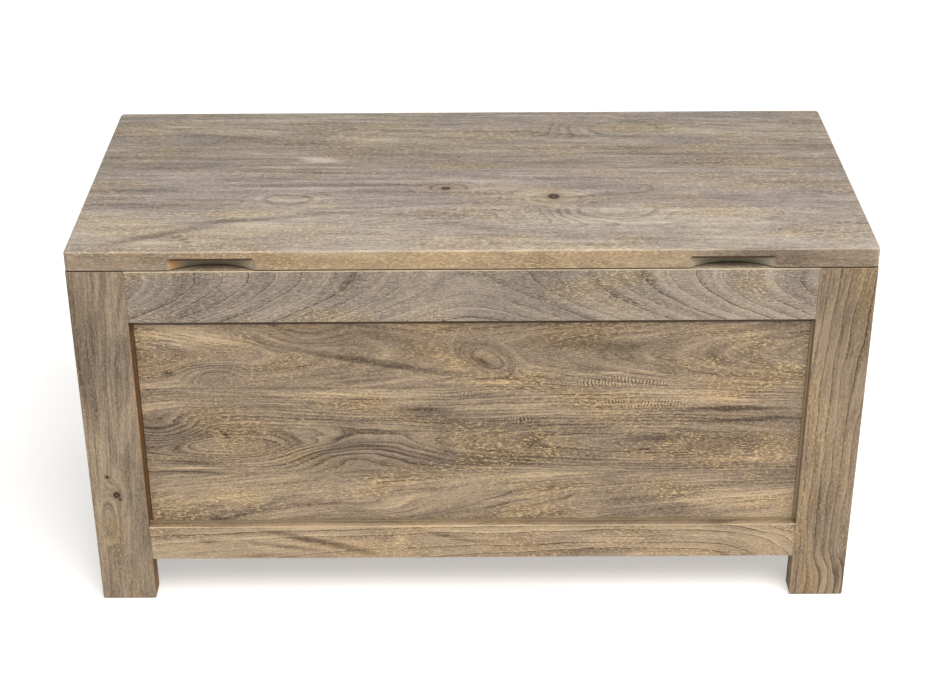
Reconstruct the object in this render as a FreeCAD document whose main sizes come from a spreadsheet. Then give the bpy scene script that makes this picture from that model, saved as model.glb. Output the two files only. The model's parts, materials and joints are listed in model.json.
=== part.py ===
import FreeCAD, Part
import os
import re

import Sketcher
from FreeCAD import Placement, Rotation, Vector

# A lidded frame-and-panel chest. X runs along the front, Y from front to back and Z up.
# The origin lies on the floor under the middle of the chest. Sizes are in millimetres.

SIZES = {
    # Outside of the chest
    "chest_width": 1000,
    "chest_depth": 457,
    "chest_height": 520,
    # Frames of the four sides
    "frame_thickness": 30,
    "stile_width": 71.5,
    "top_rail_height": 71,
    "bottom_rail_height": 51,
    "foot_height": 64.5,
    "stile_edge_radius": 2.5,
    "foot_bevel": 2,
    "rail_edge_bevel": 0.8,
    # Mortise and tenon joints
    "tenon_length": 28,
    "tenon_shoulder": 2,
    "glue_clearance": 0.15,
    # Panels and their grooves
    "panel_inset": 10,
    "panel_thickness": 12,
    "panel_reveal": 3,
    "panel_edge_bevel": 1.5,
    "groove_width": 8,
    "tongue_length": 8,
    "tongue_room": 1,
    # Loose tongues that join the two boards of each leg
    "leg_tongue_thickness": 8,
    "leg_tongue_width": 20,
    # Floor boards on cleats
    "cleat_size": 20,
    "cleat_lift": 8,
    "floor_thickness": 12,
    "floor_board_gap": 1,
    "floor_end_gap": 0.5,
    # Lid of four glued boards
    "lid_thickness": 26,
    "lid_gap": 1,
    "lid_second_board": 127,
    "lid_third_board": 84,
    "lid_seam_offset": 20.5,
    "lid_corner_radius": 6,
    "lid_edge_radius": 3,
    "lid_under_bevel": 1.5,
    # Finger pulls under the front edge of the lid
    "pull_width": 109,
    "pull_depth": 20,
    "pull_height": 14,
    "pull_end_distance": 180,
    # Battens across the underside of the lid
    "batten_width": 45,
    "batten_thickness": 18,
    "batten_end_distance": 250,
    "batten_end_gap": 12,
    "batten_bevel": 2,
    # Butt hinges
    "hinge_stile_gap": 62,
    "hinge_length": 76,
    "hinge_setback": 3.8,
    "leaf_width": 24,
    "leaf_thickness": 2,
    "leaf_clearance": 0.15,
    "knuckle_radius": 3.5,
    "knuckle_gap": 0.3,
    "pin_radius": 2.25,
    "pin_clearance": 0.05,
    # Countersunk screws
    "screw_head_radius": 3.6,
    "screw_shank_radius": 1.8,
    "screw_clearance": 0.1,
    "short_screw_length": 18,
    "long_screw_length": 36,
    # Slotted lid stays
    "stay_radius": 112,
    "stay_pivot_drop": 14.5,
    "stay_stud_drop": 44,
    "stay_open_angle": 95,
    "stay_standoff": 4,
    "stay_arm_width": 16,
    "stay_arm_thickness": 2,
    "stay_clearance": 0.3,
    "stud_radius": 3,
    "stud_collar_radius": 6,
    "stud_head_radius": 7,
    "stud_head_length": 2.2,
    "stud_screw_radius": 2,
    "stud_screw_length": 18,
    "rivet_radius": 2.5,
    "rivet_head_radius": 4.5,
    "rivet_head_length": 1.5,
    "rivet_clearance": 0.1,
    "bracket_width": 22,
    "bracket_length": 38,
    "bracket_thickness": 2,
    "bracket_ear_drop": 9,
    "bracket_bend_radius": 1.5,
}

# Places that follow from the sizes
HALF_WIDTH = "chest_width / 2"
HALF_DEPTH = "chest_depth / 2"
INNER_WIDTH = f"({HALF_WIDTH} - frame_thickness)"
INNER_DEPTH = f"({HALF_DEPTH} - frame_thickness)"
FRAME_TOP = "(chest_height - lid_thickness - lid_gap)"
LID_UNDER = "(chest_height - lid_thickness)"
OPENING_LOW = "(foot_height + bottom_rail_height)"
OPENING_HIGH = f"({FRAME_TOP} - top_rail_height)"
GROOVE_DEPTH = "(tongue_length + tongue_room)"
GROOVE_MIDDLE = "(panel_inset + panel_thickness / 2)"
CLEAT_LOW = "(foot_height + cleat_lift)"
FLOOR_LOW = f"({CLEAT_LOW} + cleat_size)"
BATTEN_MIDDLE = f"({HALF_WIDTH} - batten_end_distance)"
HINGE_MIDDLE = f"({HALF_WIDTH} - stile_width - hinge_stile_gap - hinge_length / 2)"
AXIS_Y = f"({HALF_DEPTH} + hinge_setback)"
AXIS_Z = f"({FRAME_TOP} + lid_gap / 2)"

# The lid pivot and the case stud of a stay lie at one distance from the hinge axis, so the arm
# turns at half the angle of the lid and its slot slides straight along the stud.
PIVOT_Y = f"({AXIS_Y} - sqrt(stay_radius ^ 2 - stay_pivot_drop ^ 2))"
PIVOT_Z = f"({AXIS_Z} - stay_pivot_drop)"
STUD_Y = f"({AXIS_Y} - sqrt(stay_radius ^ 2 - stay_stud_drop ^ 2))"
STUD_Z = f"({AXIS_Z} - stay_stud_drop)"
PIVOT_ANGLE = "asin(stay_pivot_drop / stay_radius)"
STUD_ANGLE = "asin(stay_stud_drop / stay_radius)"
SLOT_START = f"(2 * stay_radius * sin(({STUD_ANGLE} - {PIVOT_ANGLE}) / 2))"
SLOT_END = f"(2 * stay_radius * sin(({STUD_ANGLE} - {PIVOT_ANGLE} + stay_open_angle * 1 deg) / 2))"

# Distances of the two faces that keep a stay's arm, from the case
STUD_ARM_SIDE = "stay_standoff - stay_clearance"
STUD_HEAD_SIDE = "stay_standoff + stay_arm_thickness + stay_clearance"

DIRECTIONS = {
    "left": Vector(-1, 0, 0),
    "right": Vector(1, 0, 0),
    "front": Vector(0, -1, 0),
    "back": Vector(0, 1, 0),
    "down": Vector(0, 0, -1),
    "up": Vector(0, 0, 1),
}

# Each side of the case: the axis it runs along, which way it faces, the distance of its face
# from the middle, and how far its stiles reach from the middle, outer end and inner edge.
SIDES = {
    "front": ("x", -1, HALF_DEPTH, HALF_WIDTH, f"({HALF_WIDTH} - stile_width)"),
    "back": ("x", 1, HALF_DEPTH, HALF_WIDTH, f"({HALF_WIDTH} - stile_width)"),
    "left": ("y", -1, HALF_WIDTH, INNER_DEPTH, f"({HALF_DEPTH} - stile_width)"),
    "right": ("y", 1, HALF_WIDTH, INNER_DEPTH, f"({HALF_DEPTH} - stile_width)"),
}

doc = FreeCAD.newDocument("Chest")
sheet = doc.addObject("Spreadsheet::Sheet", "Sizes")
for row, (name, number) in enumerate(SIZES.items(), start=1):
    sheet.set(f"A{row}", name)
    sheet.set(f"B{row}", str(number))
    sheet.setAlias(f"B{row}", name)
doc.recompute()

nodes = []


# Expressions and spans

def bound(text):
    def to_cell(word):
        return f"Sizes.{word[0]}" if word[0] in SIZES else word[0]
    return re.sub(r"[a-z]\w*", to_cell, text)


def bind(item, name, text):
    item.setExpression(name, bound(text))


def measure(text):
    return float(sheet.evalExpression(bound(text)))


def span(sign, near, far):
    # A stretch between two distances from the middle, on the side given by the sign.
    return (f"-({far})", f"-({near})") if sign < 0 else (near, far)


def both_ways(reach):
    return (f"-({reach})", reach)


def on_side(side, along, inward, upward):
    # Spans in X, Y and Z of a block given along a side, inward from its face, and up.
    axis, sign, half = SIDES[side][:3]
    across = span(sign, f"{half} - ({inward[1]})", f"{half} - ({inward[0]})")
    return (along, across, upward) if axis == "x" else (across, along, upward)


# Building steps

def node(item, label):
    item.Label = label
    nodes.append(item)
    return item


def add_box(body, kind, name, x, y, z):
    box = body.newObject(f"PartDesign::{kind}Box", f"{body.Name}_{name}")
    for axis, size, (low, high) in zip("xyz", ("Length", "Width", "Height"), (x, y, z)):
        bind(box, f"Placement.Base.{axis}", low)
        bind(box, size, f"({high}) - ({low})")
    return box


def new_board(name, x, y, z):
    body = doc.addObject("PartDesign::Body", name)
    add_box(body, "Additive", "stock", x, y, z)
    return body


def place(item, position, direction):
    # Turns an item that points down in its own frame to a direction, and moves it.
    item.Placement = Placement(Vector(), Rotation(DIRECTIONS["down"], DIRECTIONS[direction]))
    for axis, text in zip("xyz", position):
        bind(item, f"Placement.Base.{axis}", text)


def add_cylinder(body, kind, name, start, direction, radius, length):
    cylinder = body.newObject(f"PartDesign::{kind}Cylinder", f"{body.Name}_{name}")
    cylinder.Placement = Placement(Vector(), Rotation(DIRECTIONS["up"], DIRECTIONS[direction]))
    for axis, text in zip("xyz", start):
        bind(cylinder, f"Placement.Base.{axis}", text)
    bind(cylinder, "Radius", radius)
    bind(cylinder, "Height", length)
    return cylinder


def ease(body, kind, size, *edges):
    # Rounds or bevels edges of the body's box. An edge is named by its two faces, such as x-z+.
    doc.recompute()
    base = body.Tip
    corners = [vertex.Point for vertex in base.Shape.Vertexes]
    faces = {}
    for axis in "xyz":
        places = [getattr(corner, axis) for corner in corners]
        faces[f"{axis}-"] = (axis, min(places))
        faces[f"{axis}+"] = (axis, max(places))
    names = []
    for number, edge in enumerate(base.Shape.Edges, start=1):
        middle = edge.valueAt((edge.FirstParameter + edge.LastParameter) / 2)
        for pair in edges:
            sides = (faces[pair[:2]], faces[pair[2:]])
            if all(abs(getattr(middle, axis) - at) < 1e-6 for axis, at in sides):
                names.append(f"Edge{number}")
    easing = body.newObject(f"PartDesign::{kind}", f"{body.Name}_{size}")
    easing.Base = (base, names)
    bind(easing, {"Fillet": "Radius", "Chamfer": "Size"}[kind], size)


def origin_plane(body, role):
    return next(item for item in body.Origin.OriginFeatures if item.Role == role)


def add_outline(body, name, role, points):
    # A closed sketch of straight lines with every corner bound to the sizes.
    sketch = body.newObject("Sketcher::SketchObject", f"{body.Name}_{name}")
    sketch.AttachmentSupport = [(origin_plane(body, role), "")]
    sketch.MapMode = "FlatFace"
    corners = [Vector(measure(across), measure(up), 0) for across, up in points]
    count = len(corners)
    for index in range(count):
        sketch.addGeometry(Part.LineSegment(corners[index], corners[(index + 1) % count]))
    for index in range(count):
        sketch.addConstraint(Sketcher.Constraint("Coincident", index, 2, (index + 1) % count, 1))
    for index, (across, up) in enumerate(points):
        for kind, text in (("DistanceX", across), ("DistanceY", up)):
            constraint = Sketcher.Constraint(kind, -1, 1, index, 1, measure(text))
            bind(sketch, f"Constraints[{sketch.addConstraint(constraint)}]", text)
    return sketch


def new_turning(name, role, axis, points):
    # A turned piece: an outline revolved about an axis of its sketch.
    body = doc.addObject("PartDesign::Body", name)
    sketch = add_outline(body, "outline", role, points)
    turning = body.newObject("PartDesign::Revolution", f"{name}_turning")
    turning.Profile = sketch
    turning.ReferenceAxis = (sketch, [axis])
    return body


def copies(name, source, positions, direction):
    # Separate copies of one piece at several places, kept as one group.
    links = []
    for index, position in enumerate(positions):
        link = doc.addObject("App::Link", f"{name}_{index}")
        link.LinkedObject = source
        place(link, position, direction)
        links.append(link)
    group = doc.addObject("Part::Compound", name)
    group.Links = links
    return group


def joined(name, groups):
    group = doc.addObject("Part::Compound", name)
    group.Links = groups
    return group


def drilled(label, blank, holes):
    blank.Label = f"{label}_blank"
    cut = doc.addObject("Part::Cut", f"{label}_drilled")
    cut.Base = blank
    cut.Tool = holes
    return node(cut, label)


# Screws and the holes that they leave

SCREW_SIDE_COUNT = 6
SCREW_HEAD_TAPER = 45


def add_prism(body, name, radius, length):
    # A prism with a few flat sides that points down.
    prism = body.newObject("PartDesign::AdditivePrism", f"{body.Name}_{name}")
    prism.Polygon = SCREW_SIDE_COUNT
    prism.Placement = Placement(Vector(), Rotation(DIRECTIONS["up"], DIRECTIONS["down"]))
    bind(prism, "Circumradius", radius)
    bind(prism, "Height", length)
    return prism


def new_screw(name, length, clearance):
    # A countersunk screw that points down: a tapered head, then a straight shank.
    body = doc.addObject("PartDesign::Body", name)
    head = add_prism(body, "head", f"screw_head_radius + {clearance}",
                     "screw_head_radius - screw_shank_radius")
    taper = body.newObject("PartDesign::Draft", f"{name}_taper")
    taper.Base = (head, [f"Face{number + 1}" for number in range(SCREW_SIDE_COUNT)])
    taper.NeutralPlane = (origin_plane(body, "XY_Plane"), [""])
    taper.Angle = SCREW_HEAD_TAPER
    add_prism(body, "shank", f"screw_shank_radius + {clearance}", f"{length} + {clearance}")
    return body


short_screw = new_screw("short_screw", "short_screw_length", "0")
short_hole = new_screw("short_hole", "short_screw_length", "screw_clearance")
long_screw = new_screw("long_screw", "long_screw_length", "0")
long_hole = new_screw("long_hole", "long_screw_length", "screw_clearance")

LID_BOARDS = {
    "front": (f"-({HALF_DEPTH})", "lid_seam_offset - lid_second_board"),
    "second": ("lid_seam_offset - lid_second_board", "lid_seam_offset"),
    "third": ("lid_seam_offset", "lid_seam_offset + lid_third_board"),
    "rear": ("lid_seam_offset + lid_third_board", HALF_DEPTH),
}
HANDS = (("left", -1), ("right", 1))
HINGE_SCREW_COUNT = 3
CLEAT_SCREW_COUNTS = {"front": 4, "back": 4, "left": 2, "right": 2}
BRACKET_SCREW_SHARES = (0.38, 0.78)


def hinge_screw_places(height):
    steps = range(-(HINGE_SCREW_COUNT // 2), HINGE_SCREW_COUNT // 2 + 1)
    return [
        (f"{sign} * {HINGE_MIDDLE} + {step} * hinge_length / {HINGE_SCREW_COUNT}",
         f"{HALF_DEPTH} - leaf_width / 2", height)
        for _, sign in HANDS for step in steps
    ]


def batten_screw_places():
    # One screw through each batten into the middle of each board that it crosses.
    reach = f"({INNER_DEPTH} - batten_end_gap)"
    rows = []
    for name, (low, high) in LID_BOARDS.items():
        low = f"-{reach}" if name == "front" else low
        high = reach if name == "rear" else high
        rows.append(f"(({low}) + ({high})) / 2")
    height = f"{LID_UNDER} - batten_thickness"
    return [(f"{sign} * {BATTEN_MIDDLE}", row, height) for _, sign in HANDS for row in rows]


def bracket_screw_places():
    inner_face = f"({INNER_WIDTH} - ({STUD_HEAD_SIDE}))"
    height = f"{LID_UNDER} - bracket_thickness"
    return [
        (f"{sign} * ({inner_face} - bracket_length * {share})", PIVOT_Y, height)
        for _, sign in HANDS for share in BRACKET_SCREW_SHARES
    ]


def cleat_screw_places(side):
    # Screws at equal steps along a cleat, from its inner face towards the rail.
    reach = INNER_WIDTH if SIDES[side][0] == "x" else f"({INNER_DEPTH} - cleat_size)"
    count = CLEAT_SCREW_COUNTS[side]
    inward = "frame_thickness + cleat_size"
    height = f"{CLEAT_LOW} + cleat_size / 2"
    positions = []
    for index in range(count):
        along = f"{reach} * {(2 * index + 1) / count - 1}"
        spans = on_side(side, (along, along), (inward, inward), (height, height))
        positions.append([low for low, _ in spans])
    return positions


case_hinge_places = hinge_screw_places(FRAME_TOP)
lid_hinge_places = hinge_screw_places(LID_UNDER)

node(copies("hinge_case_screws", short_screw, case_hinge_places, "down"), "hinge_case_screws")
node(copies("hinge_lid_screws", short_screw, lid_hinge_places, "up"), "hinge_lid_screws")
node(copies("lid_batten_screws", long_screw, batten_screw_places(), "up"), "lid_batten_screws")
node(copies("stay_screws", short_screw, bracket_screw_places(), "up"), "stay_screws")
node(joined("cleat_screws", [
    copies(f"{side}_cleat_screws", long_screw, cleat_screw_places(side), side) for side in SIDES
]), "cleat_screws")

case_hinge_holes = copies("hinge_case_holes", short_hole, case_hinge_places, "down")
lid_hinge_holes = copies("hinge_lid_holes", short_hole, lid_hinge_places, "up")
batten_holes = copies("lid_batten_holes", long_hole, batten_screw_places(), "up")
bracket_holes = copies("stay_holes", short_hole, bracket_screw_places(), "up")
lid_holes = joined("lid_holes", [lid_hinge_holes, batten_holes, bracket_holes])
cleat_holes = {
    side: copies(f"{side}_cleat_holes", long_hole, cleat_screw_places(side), side) for side in SIDES
}


# Studs of the lid stays, which screw into the ends of the case

stud = new_turning("stud", "XZ_Plane", "V_Axis", [
    ("0", "0"),
    ("stud_collar_radius", "0"),
    ("stud_collar_radius", STUD_ARM_SIDE),
    ("stud_radius", STUD_ARM_SIDE),
    ("stud_radius", STUD_HEAD_SIDE),
    ("stud_head_radius", STUD_HEAD_SIDE),
    ("stud_head_radius", f"{STUD_HEAD_SIDE} + stud_head_length"),
    ("0", f"{STUD_HEAD_SIDE} + stud_head_length"),
])
add_prism(stud, "screw", "stud_screw_radius", "stud_screw_length")
stud_hole = doc.addObject("PartDesign::Body", "stud_hole")
add_prism(stud_hole, "bore", "stud_screw_radius + screw_clearance",
          "stud_screw_length + screw_clearance")
stud_holes = {}
for hand, sign in HANDS:
    stud_place = (f"{sign} * {INNER_WIDTH}", STUD_Y, STUD_Z)
    node(copies(f"{hand}_stay_stud", stud, [stud_place], hand), f"{hand}_stay_stud")
    stud_holes[hand] = copies(f"{hand}_stud_hole", stud_hole, [stud_place], hand)


# Frames: stiles, rails and panels of the four sides

def tenon_span(low, high):
    inset = f"({GROOVE_DEPTH} + tenon_shoulder)"
    return (f"({low}) + {inset}", f"({high}) - {inset}")


RAILS = {
    "top_rail": (OPENING_HIGH, FRAME_TOP),
    "bottom_rail": ("foot_height", OPENING_LOW),
}
GROOVE = (f"{GROOVE_MIDDLE} - groove_width / 2", f"{GROOVE_MIDDLE} + groove_width / 2")
TONGUE = (f"{GROOVE[0]} + glue_clearance", f"{GROOVE[1]} - glue_clearance")


def leg_tongue_spans(x_sign, y_sign, clearance):
    # A strip let half into each of the two boards of a leg.
    thick = f"(leg_tongue_thickness / 2 + {clearance})"
    wide = f"(leg_tongue_width / 2 + {clearance})"
    across = f"({HALF_WIDTH} - frame_thickness / 2)"
    return (
        span(x_sign, f"{across} - {thick}", f"{across} + {thick}"),
        span(y_sign, f"{INNER_DEPTH} - {wide}", f"{INNER_DEPTH} + {wide}"),
        (f"{OPENING_LOW} - {clearance}", f"{OPENING_HIGH} + {clearance}"),
    )


def new_stile(side, hand_sign):
    axis, face_sign, _, end, edge = SIDES[side]
    name = {"x": {-1: "left", 1: "right"}, "y": {-1: "front", 1: "back"}}[axis][hand_sign]
    body = new_board(f"{side}_{name}_stile", *on_side(
        side, span(hand_sign, edge, end), ("0", "frame_thickness"), ("0", FRAME_TOP)))
    face = f"{'y' if axis == 'x' else 'x'}{'-' if face_sign < 0 else '+'}"
    outer = f"{axis}{'-' if hand_sign < 0 else '+'}"
    inner = f"{axis}{'+' if hand_sign < 0 else '-'}"
    if axis == "x":
        ease(body, "Fillet", "stile_edge_radius", outer + face)
        ease(body, "Chamfer", "foot_bevel", outer + "z-", face + "z-", inner + "z-")
    else:
        ease(body, "Chamfer", "foot_bevel", face + "z-", inner + "z-")
    for rail, (low, high) in RAILS.items():
        tenon_low, tenon_high = tenon_span(low, high)
        add_box(body, "Subtractive", f"{rail}_mortise", *on_side(
            side, span(hand_sign, edge, f"{edge} + tenon_length + glue_clearance"), GROOVE,
            (f"{tenon_low} - glue_clearance", f"{tenon_high} + glue_clearance")))
    add_box(body, "Subtractive", "groove", *on_side(
        side, span(hand_sign, edge, f"{edge} + {GROOVE_DEPTH}"), GROOVE,
        (f"{OPENING_LOW} - {GROOVE_DEPTH}", f"{OPENING_HIGH} + {GROOVE_DEPTH}")))
    x_sign, y_sign = (hand_sign, face_sign) if axis == "x" else (face_sign, hand_sign)
    add_box(body, "Subtractive", "leg_slot", *leg_tongue_spans(x_sign, y_sign, "glue_clearance"))
    return body


def new_rail(side, rail):
    axis, face_sign, _, _, edge = SIDES[side]
    low, high = RAILS[rail]
    body = new_board(f"{side}_{rail}", *on_side(
        side, both_ways(edge), ("0", "frame_thickness"), (low, high)))
    face = f"{'y' if axis == 'x' else 'x'}{'-' if face_sign < 0 else '+'}"
    ease(body, "Chamfer", "rail_edge_bevel", f"{face}z-", f"{face}z+")
    for hand, sign in HANDS:
        add_box(body, "Additive", f"{hand}_tenon", *on_side(
            side, span(sign, edge, f"{edge} + tenon_length"), TONGUE, tenon_span(low, high)))
    groove = (f"{high} - {GROOVE_DEPTH}", high)
    if rail == "top_rail":
        groove = (low, f"{low} + {GROOVE_DEPTH}")
    add_box(body, "Subtractive", "groove", *on_side(side, both_ways(edge), GROOVE, groove))
    return body


def new_panel(side):
    axis, sign, _, _, edge = SIDES[side]
    body = new_board(f"{side}_panel", *on_side(
        side, both_ways(f"{edge} - panel_reveal"), ("panel_inset", "panel_inset + panel_thickness"),
        (f"{OPENING_LOW} + panel_reveal", f"{OPENING_HIGH} - panel_reveal")))
    face = f"{'y' if axis == 'x' else 'x'}{'-' if sign < 0 else '+'}"
    ease(body, "Chamfer", "panel_edge_bevel",
         f"{axis}-{face}", f"{axis}+{face}", f"{face}z-", f"{face}z+")
    add_box(body, "Additive", "tongue", *on_side(
        side, both_ways(f"{edge} + tongue_length"), TONGUE,
        (f"{OPENING_LOW} - tongue_length", f"{OPENING_HIGH} + tongue_length")))
    return body


def cut_hinge_seats(body, heights):
    # Shallow seats that let the hinge leaves in flush.
    for hand, sign in HANDS:
        middle = f"{sign} * {HINGE_MIDDLE}"
        reach = "hinge_length / 2 + leaf_clearance"
        add_box(body, "Subtractive", f"{hand}_hinge_seat",
                (f"{middle} - ({reach})", f"{middle} + {reach}"),
                (f"{HALF_DEPTH} - leaf_width - leaf_clearance", f"{HALF_DEPTH} + leaf_clearance"),
                heights)


for side in SIDES:
    panel = new_panel(side)
    node(panel, panel.Name)
    for hand_sign in (-1, 1):
        stile = new_stile(side, hand_sign)
        if SIDES[side][0] == "y" and hand_sign > 0:
            drilled(stile.Name, stile, stud_holes[side])
        else:
            node(stile, stile.Name)
    bottom_rail = new_rail(side, "bottom_rail")
    drilled(bottom_rail.Name, bottom_rail, cleat_holes[side])
    top_rail = new_rail(side, "top_rail")
    if side == "back":
        cut_hinge_seats(top_rail, (f"{FRAME_TOP} - leaf_thickness", FRAME_TOP))
        drilled(top_rail.Name, top_rail, case_hinge_holes)
    elif side in stud_holes:
        drilled(top_rail.Name, top_rail, stud_holes[side])
    else:
        node(top_rail, top_rail.Name)

# Loose tongues of the legs
leg_tongues = []
for x_sign in (-1, 1):
    for y_sign in (-1, 1):
        tongue = doc.addObject("Part::Box", "leg_tongue")
        spans = leg_tongue_spans(x_sign, y_sign, "0")
        for axis, size, (low, high) in zip("xyz", ("Length", "Width", "Height"), spans):
            bind(tongue, f"Placement.Base.{axis}", low)
            bind(tongue, size, f"({high}) - ({low})")
        leg_tongues.append(tongue)
node(joined("leg_tongues", leg_tongues), "leg_tongues")

# Cleats and floor boards
for side, (axis, *_) in SIDES.items():
    reach = INNER_WIDTH if axis == "x" else f"({INNER_DEPTH} - cleat_size)"
    cleat = new_board(f"{side}_cleat", *on_side(
        side, both_ways(reach), ("frame_thickness", "frame_thickness + cleat_size"),
        (CLEAT_LOW, FLOOR_LOW)))
    drilled(cleat.Name, cleat, cleat_holes[side])

FLOOR_BOARD_COUNT = 6
floor_room = f"(2 * {INNER_WIDTH} - {FLOOR_BOARD_COUNT + 1} * floor_board_gap)"
FLOOR_BOARD_WIDTH = f"({floor_room} / {FLOOR_BOARD_COUNT})"
for index in range(FLOOR_BOARD_COUNT):
    low = f"-{INNER_WIDTH} + floor_board_gap + {index} * ({FLOOR_BOARD_WIDTH} + floor_board_gap)"
    floor_board = new_board(
        f"floor_board_{index + 1}", (low, f"{low} + {FLOOR_BOARD_WIDTH}"),
        both_ways(f"{INNER_DEPTH} - floor_end_gap"), (FLOOR_LOW, f"{FLOOR_LOW} + floor_thickness"))
    node(floor_board, floor_board.Name)

# Lid boards
for name, (low, high) in LID_BOARDS.items():
    lid_board = new_board(f"lid_{name}_board", both_ways(HALF_WIDTH), (low, high),
                          (LID_UNDER, "chest_height"))
    outer = {"front": "y-", "rear": "y+"}.get(name)
    if outer:
        ease(lid_board, "Fillet", "lid_corner_radius", f"x-{outer}", f"x+{outer}")
    rims = ["x-", "x+"] + ([outer] if outer else [])
    ease(lid_board, "Fillet", "lid_edge_radius", *(f"{rim}z+" for rim in rims))
    ease(lid_board, "Chamfer", "lid_under_bevel", *(f"{rim}z-" for rim in rims))
    if name == "front":
        # Each finger pull is a round-backed scoop with a flat ceiling.
        bow = "((pull_width ^ 2 / 4 + pull_depth ^ 2) / (2 * pull_depth))"
        for hand, sign in HANDS:
            along = f"{sign} * ({HALF_WIDTH} - pull_end_distance)"
            add_cylinder(lid_board, "Subtractive", f"{hand}_pull",
                         (along, f"-{HALF_DEPTH} + pull_depth - {bow}", LID_UNDER),
                         "up", bow, "pull_height")
    if name == "rear":
        cut_hinge_seats(lid_board, (LID_UNDER, f"{LID_UNDER} + leaf_thickness"))
    drilled(lid_board.Name, lid_board, lid_holes)

# Battens under the lid
for hand, sign in HANDS:
    batten = new_board(f"lid_{hand}_batten",
                       (f"{sign} * {BATTEN_MIDDLE} - batten_width / 2",
                        f"{sign} * {BATTEN_MIDDLE} + batten_width / 2"),
                       both_ways(f"{INNER_DEPTH} - batten_end_gap"),
                       (f"{LID_UNDER} - batten_thickness", LID_UNDER))
    ease(batten, "Chamfer", "batten_bevel", "x-z-", "x+z-", "y-z-", "y+z-")
    drilled(batten.Name, batten, batten_holes)


# Butt hinges

KNUCKLE_COUNT = 3
KNUCKLE_LENGTH = f"((hinge_length - {KNUCKLE_COUNT - 1} * knuckle_gap) / {KNUCKLE_COUNT})"
LEAF_EDGE = f"({AXIS_Y} - knuckle_radius - knuckle_gap)"


def new_leaf(name, middle, own_knuckles, height):
    body = doc.addObject("PartDesign::Body", name)
    ends = (f"{middle} - hinge_length / 2", f"{middle} + hinge_length / 2")
    inner = f"{HALF_DEPTH} - leaf_width"
    starts = [f"{ends[0]} + {index} * ({KNUCKLE_LENGTH} + knuckle_gap)" for index in own_knuckles]
    tabs = []
    for start in starts:
        stop = f"{start} + {KNUCKLE_LENGTH}"
        tabs += [(start, LEAF_EDGE), (start, AXIS_Y), (stop, AXIS_Y), (stop, LEAF_EDGE)]
    if own_knuckles[0] > 0:
        tabs = [(ends[0], LEAF_EDGE)] + tabs + [(ends[1], LEAF_EDGE)]
    outline = add_outline(body, "outline", "XY_Plane", [(ends[0], inner)] + tabs + [(ends[1], inner)])
    bind(outline, "AttachmentOffset.Base.z", height)
    plate = body.newObject("PartDesign::Pad", f"{name}_plate")
    plate.Profile = outline
    bind(plate, "Length", "leaf_thickness")
    for index, start in enumerate(starts):
        add_cylinder(body, "Additive", f"knuckle_{index}", (start, AXIS_Y, AXIS_Z), "right",
                     "knuckle_radius", KNUCKLE_LENGTH)
    add_cylinder(body, "Subtractive", "bore", (ends[0], AXIS_Y, AXIS_Z), "right",
                 "pin_radius + pin_clearance", "hinge_length")
    return body


for hand, sign in HANDS:
    middle = f"{sign} * {HINGE_MIDDLE}"
    case_leaf = new_leaf(f"{hand}_hinge_case_leaf", middle, (0, 2), f"{FRAME_TOP} - leaf_thickness")
    drilled(case_leaf.Name, case_leaf, case_hinge_holes)
    lid_leaf = new_leaf(f"{hand}_hinge_lid_leaf", middle, (1,), LID_UNDER)
    drilled(lid_leaf.Name, lid_leaf, lid_hinge_holes)
    pin = doc.addObject("PartDesign::Body", f"{hand}_hinge_pin")
    add_cylinder(pin, "Additive", "rod", (f"{middle} - hinge_length / 2", AXIS_Y, AXIS_Z), "right",
                 "pin_radius", "hinge_length")
    node(pin, pin.Name)


# Slotted lid stays

def add_round_slot(sketch, first, last, radius):
    # A round-ended outline along the sketch's upright axis, below its origin.
    top, bottom, reach = -measure(first), -measure(last), measure(radius)
    upper = sketch.addGeometry(Part.Arc(
        Vector(reach, top, 0), Vector(0, top + reach, 0), Vector(-reach, top, 0)))
    lower = sketch.addGeometry(Part.Arc(
        Vector(-reach, bottom, 0), Vector(0, bottom - reach, 0), Vector(reach, bottom, 0)))
    left = sketch.addGeometry(Part.LineSegment(Vector(-reach, top, 0), Vector(-reach, bottom, 0)))
    right = sketch.addGeometry(Part.LineSegment(Vector(reach, bottom, 0), Vector(reach, top, 0)))
    sketch.addConstraint([
        Sketcher.Constraint("Tangent", upper, 2, left, 1),
        Sketcher.Constraint("Tangent", left, 2, lower, 1),
        Sketcher.Constraint("Tangent", lower, 2, right, 1),
        Sketcher.Constraint("Tangent", right, 2, upper, 1),
        Sketcher.Constraint("Equal", upper, lower),
        Sketcher.Constraint("PointOnObject", upper, 3, -2),
        Sketcher.Constraint("PointOnObject", lower, 3, -2),
    ])
    for constraint, text in (
        (Sketcher.Constraint("DistanceY", -1, 1, upper, 3, top), f"-({first})"),
        (Sketcher.Constraint("DistanceY", -1, 1, lower, 3, bottom), f"-({last})"),
        (Sketcher.Constraint("Radius", upper, reach), radius),
    ):
        bind(sketch, f"Constraints[{sketch.addConstraint(constraint)}]", text)


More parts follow.
